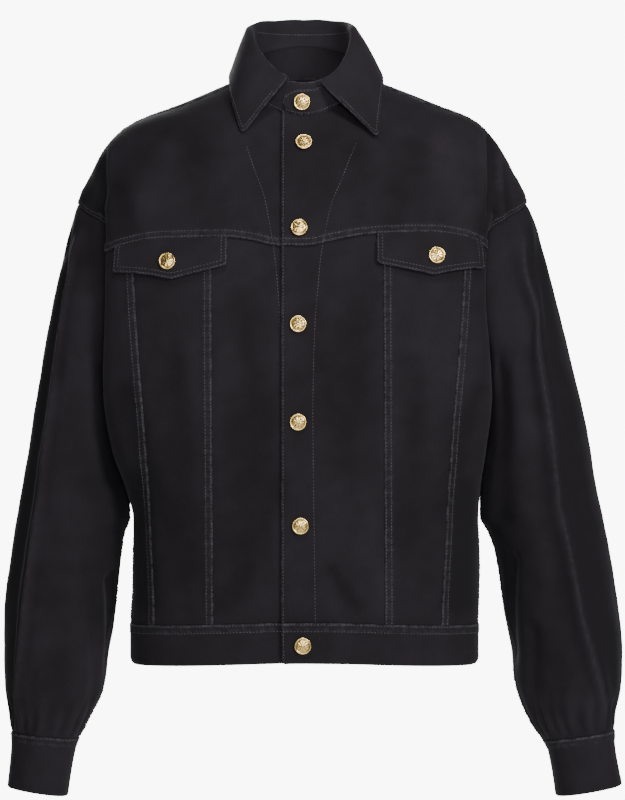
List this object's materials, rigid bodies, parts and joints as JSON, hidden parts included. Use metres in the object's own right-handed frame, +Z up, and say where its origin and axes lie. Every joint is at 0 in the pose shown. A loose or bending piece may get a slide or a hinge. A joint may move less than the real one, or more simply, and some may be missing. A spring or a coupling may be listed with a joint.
{
  "type": "denim jacket",
  "caption": "Boxy trucker-style denim jacket in the hollow form it has when worn, with point collar, flap pockets, full sleeves and metal shank buttons.",
  "frame": {"origin": "middle of the neck at the height of the shoulders, where the wearer holds the jacket up", "axes": "+Z up, front faces -Y, +X towards the wearer's left"},
  "size_m": [0.6797, 0.2553, 0.8569],
  "materials": {
    "denim": "washed black cotton twill",
    "gold_metal": "polished"
  },
  "bodies": {
    "root": {"front_centre_right": "denim", "pocket_panel_right": "denim", "front_side_right": "denim", "front_yoke_right": "denim", "pocket_flap_right": "denim", "sleeve_upper_right": "denim", "sleeve_under_right": "denim", "cuff_right": "denim", "back_side_right": "denim", "front_centre_left": "denim", "pocket_panel_left": "denim", "front_side_left": "denim", "front_yoke_left": "denim", "pocket_flap_left": "denim", "sleeve_upper_left": "denim", "sleeve_under_left": "denim", "cuff_left": "denim", "back_side_left": "denim", "back_centre": "denim", "back_yoke": "denim", "hem_band": "denim", "collar_stand": "denim", "collar_fall": "denim", "button_front_1": "gold_metal", "button_front_2": "gold_metal", "button_front_3": "gold_metal", "button_front_4": "gold_metal", "button_front_5": "gold_metal", "button_hem": "gold_metal", "button_stand": "gold_metal", "button_flap_right": "gold_metal", "button_cuff_right": "gold_metal", "button_flap_left": "gold_metal", "button_cuff_left": "gold_metal"}
  },
  "joints": []
}
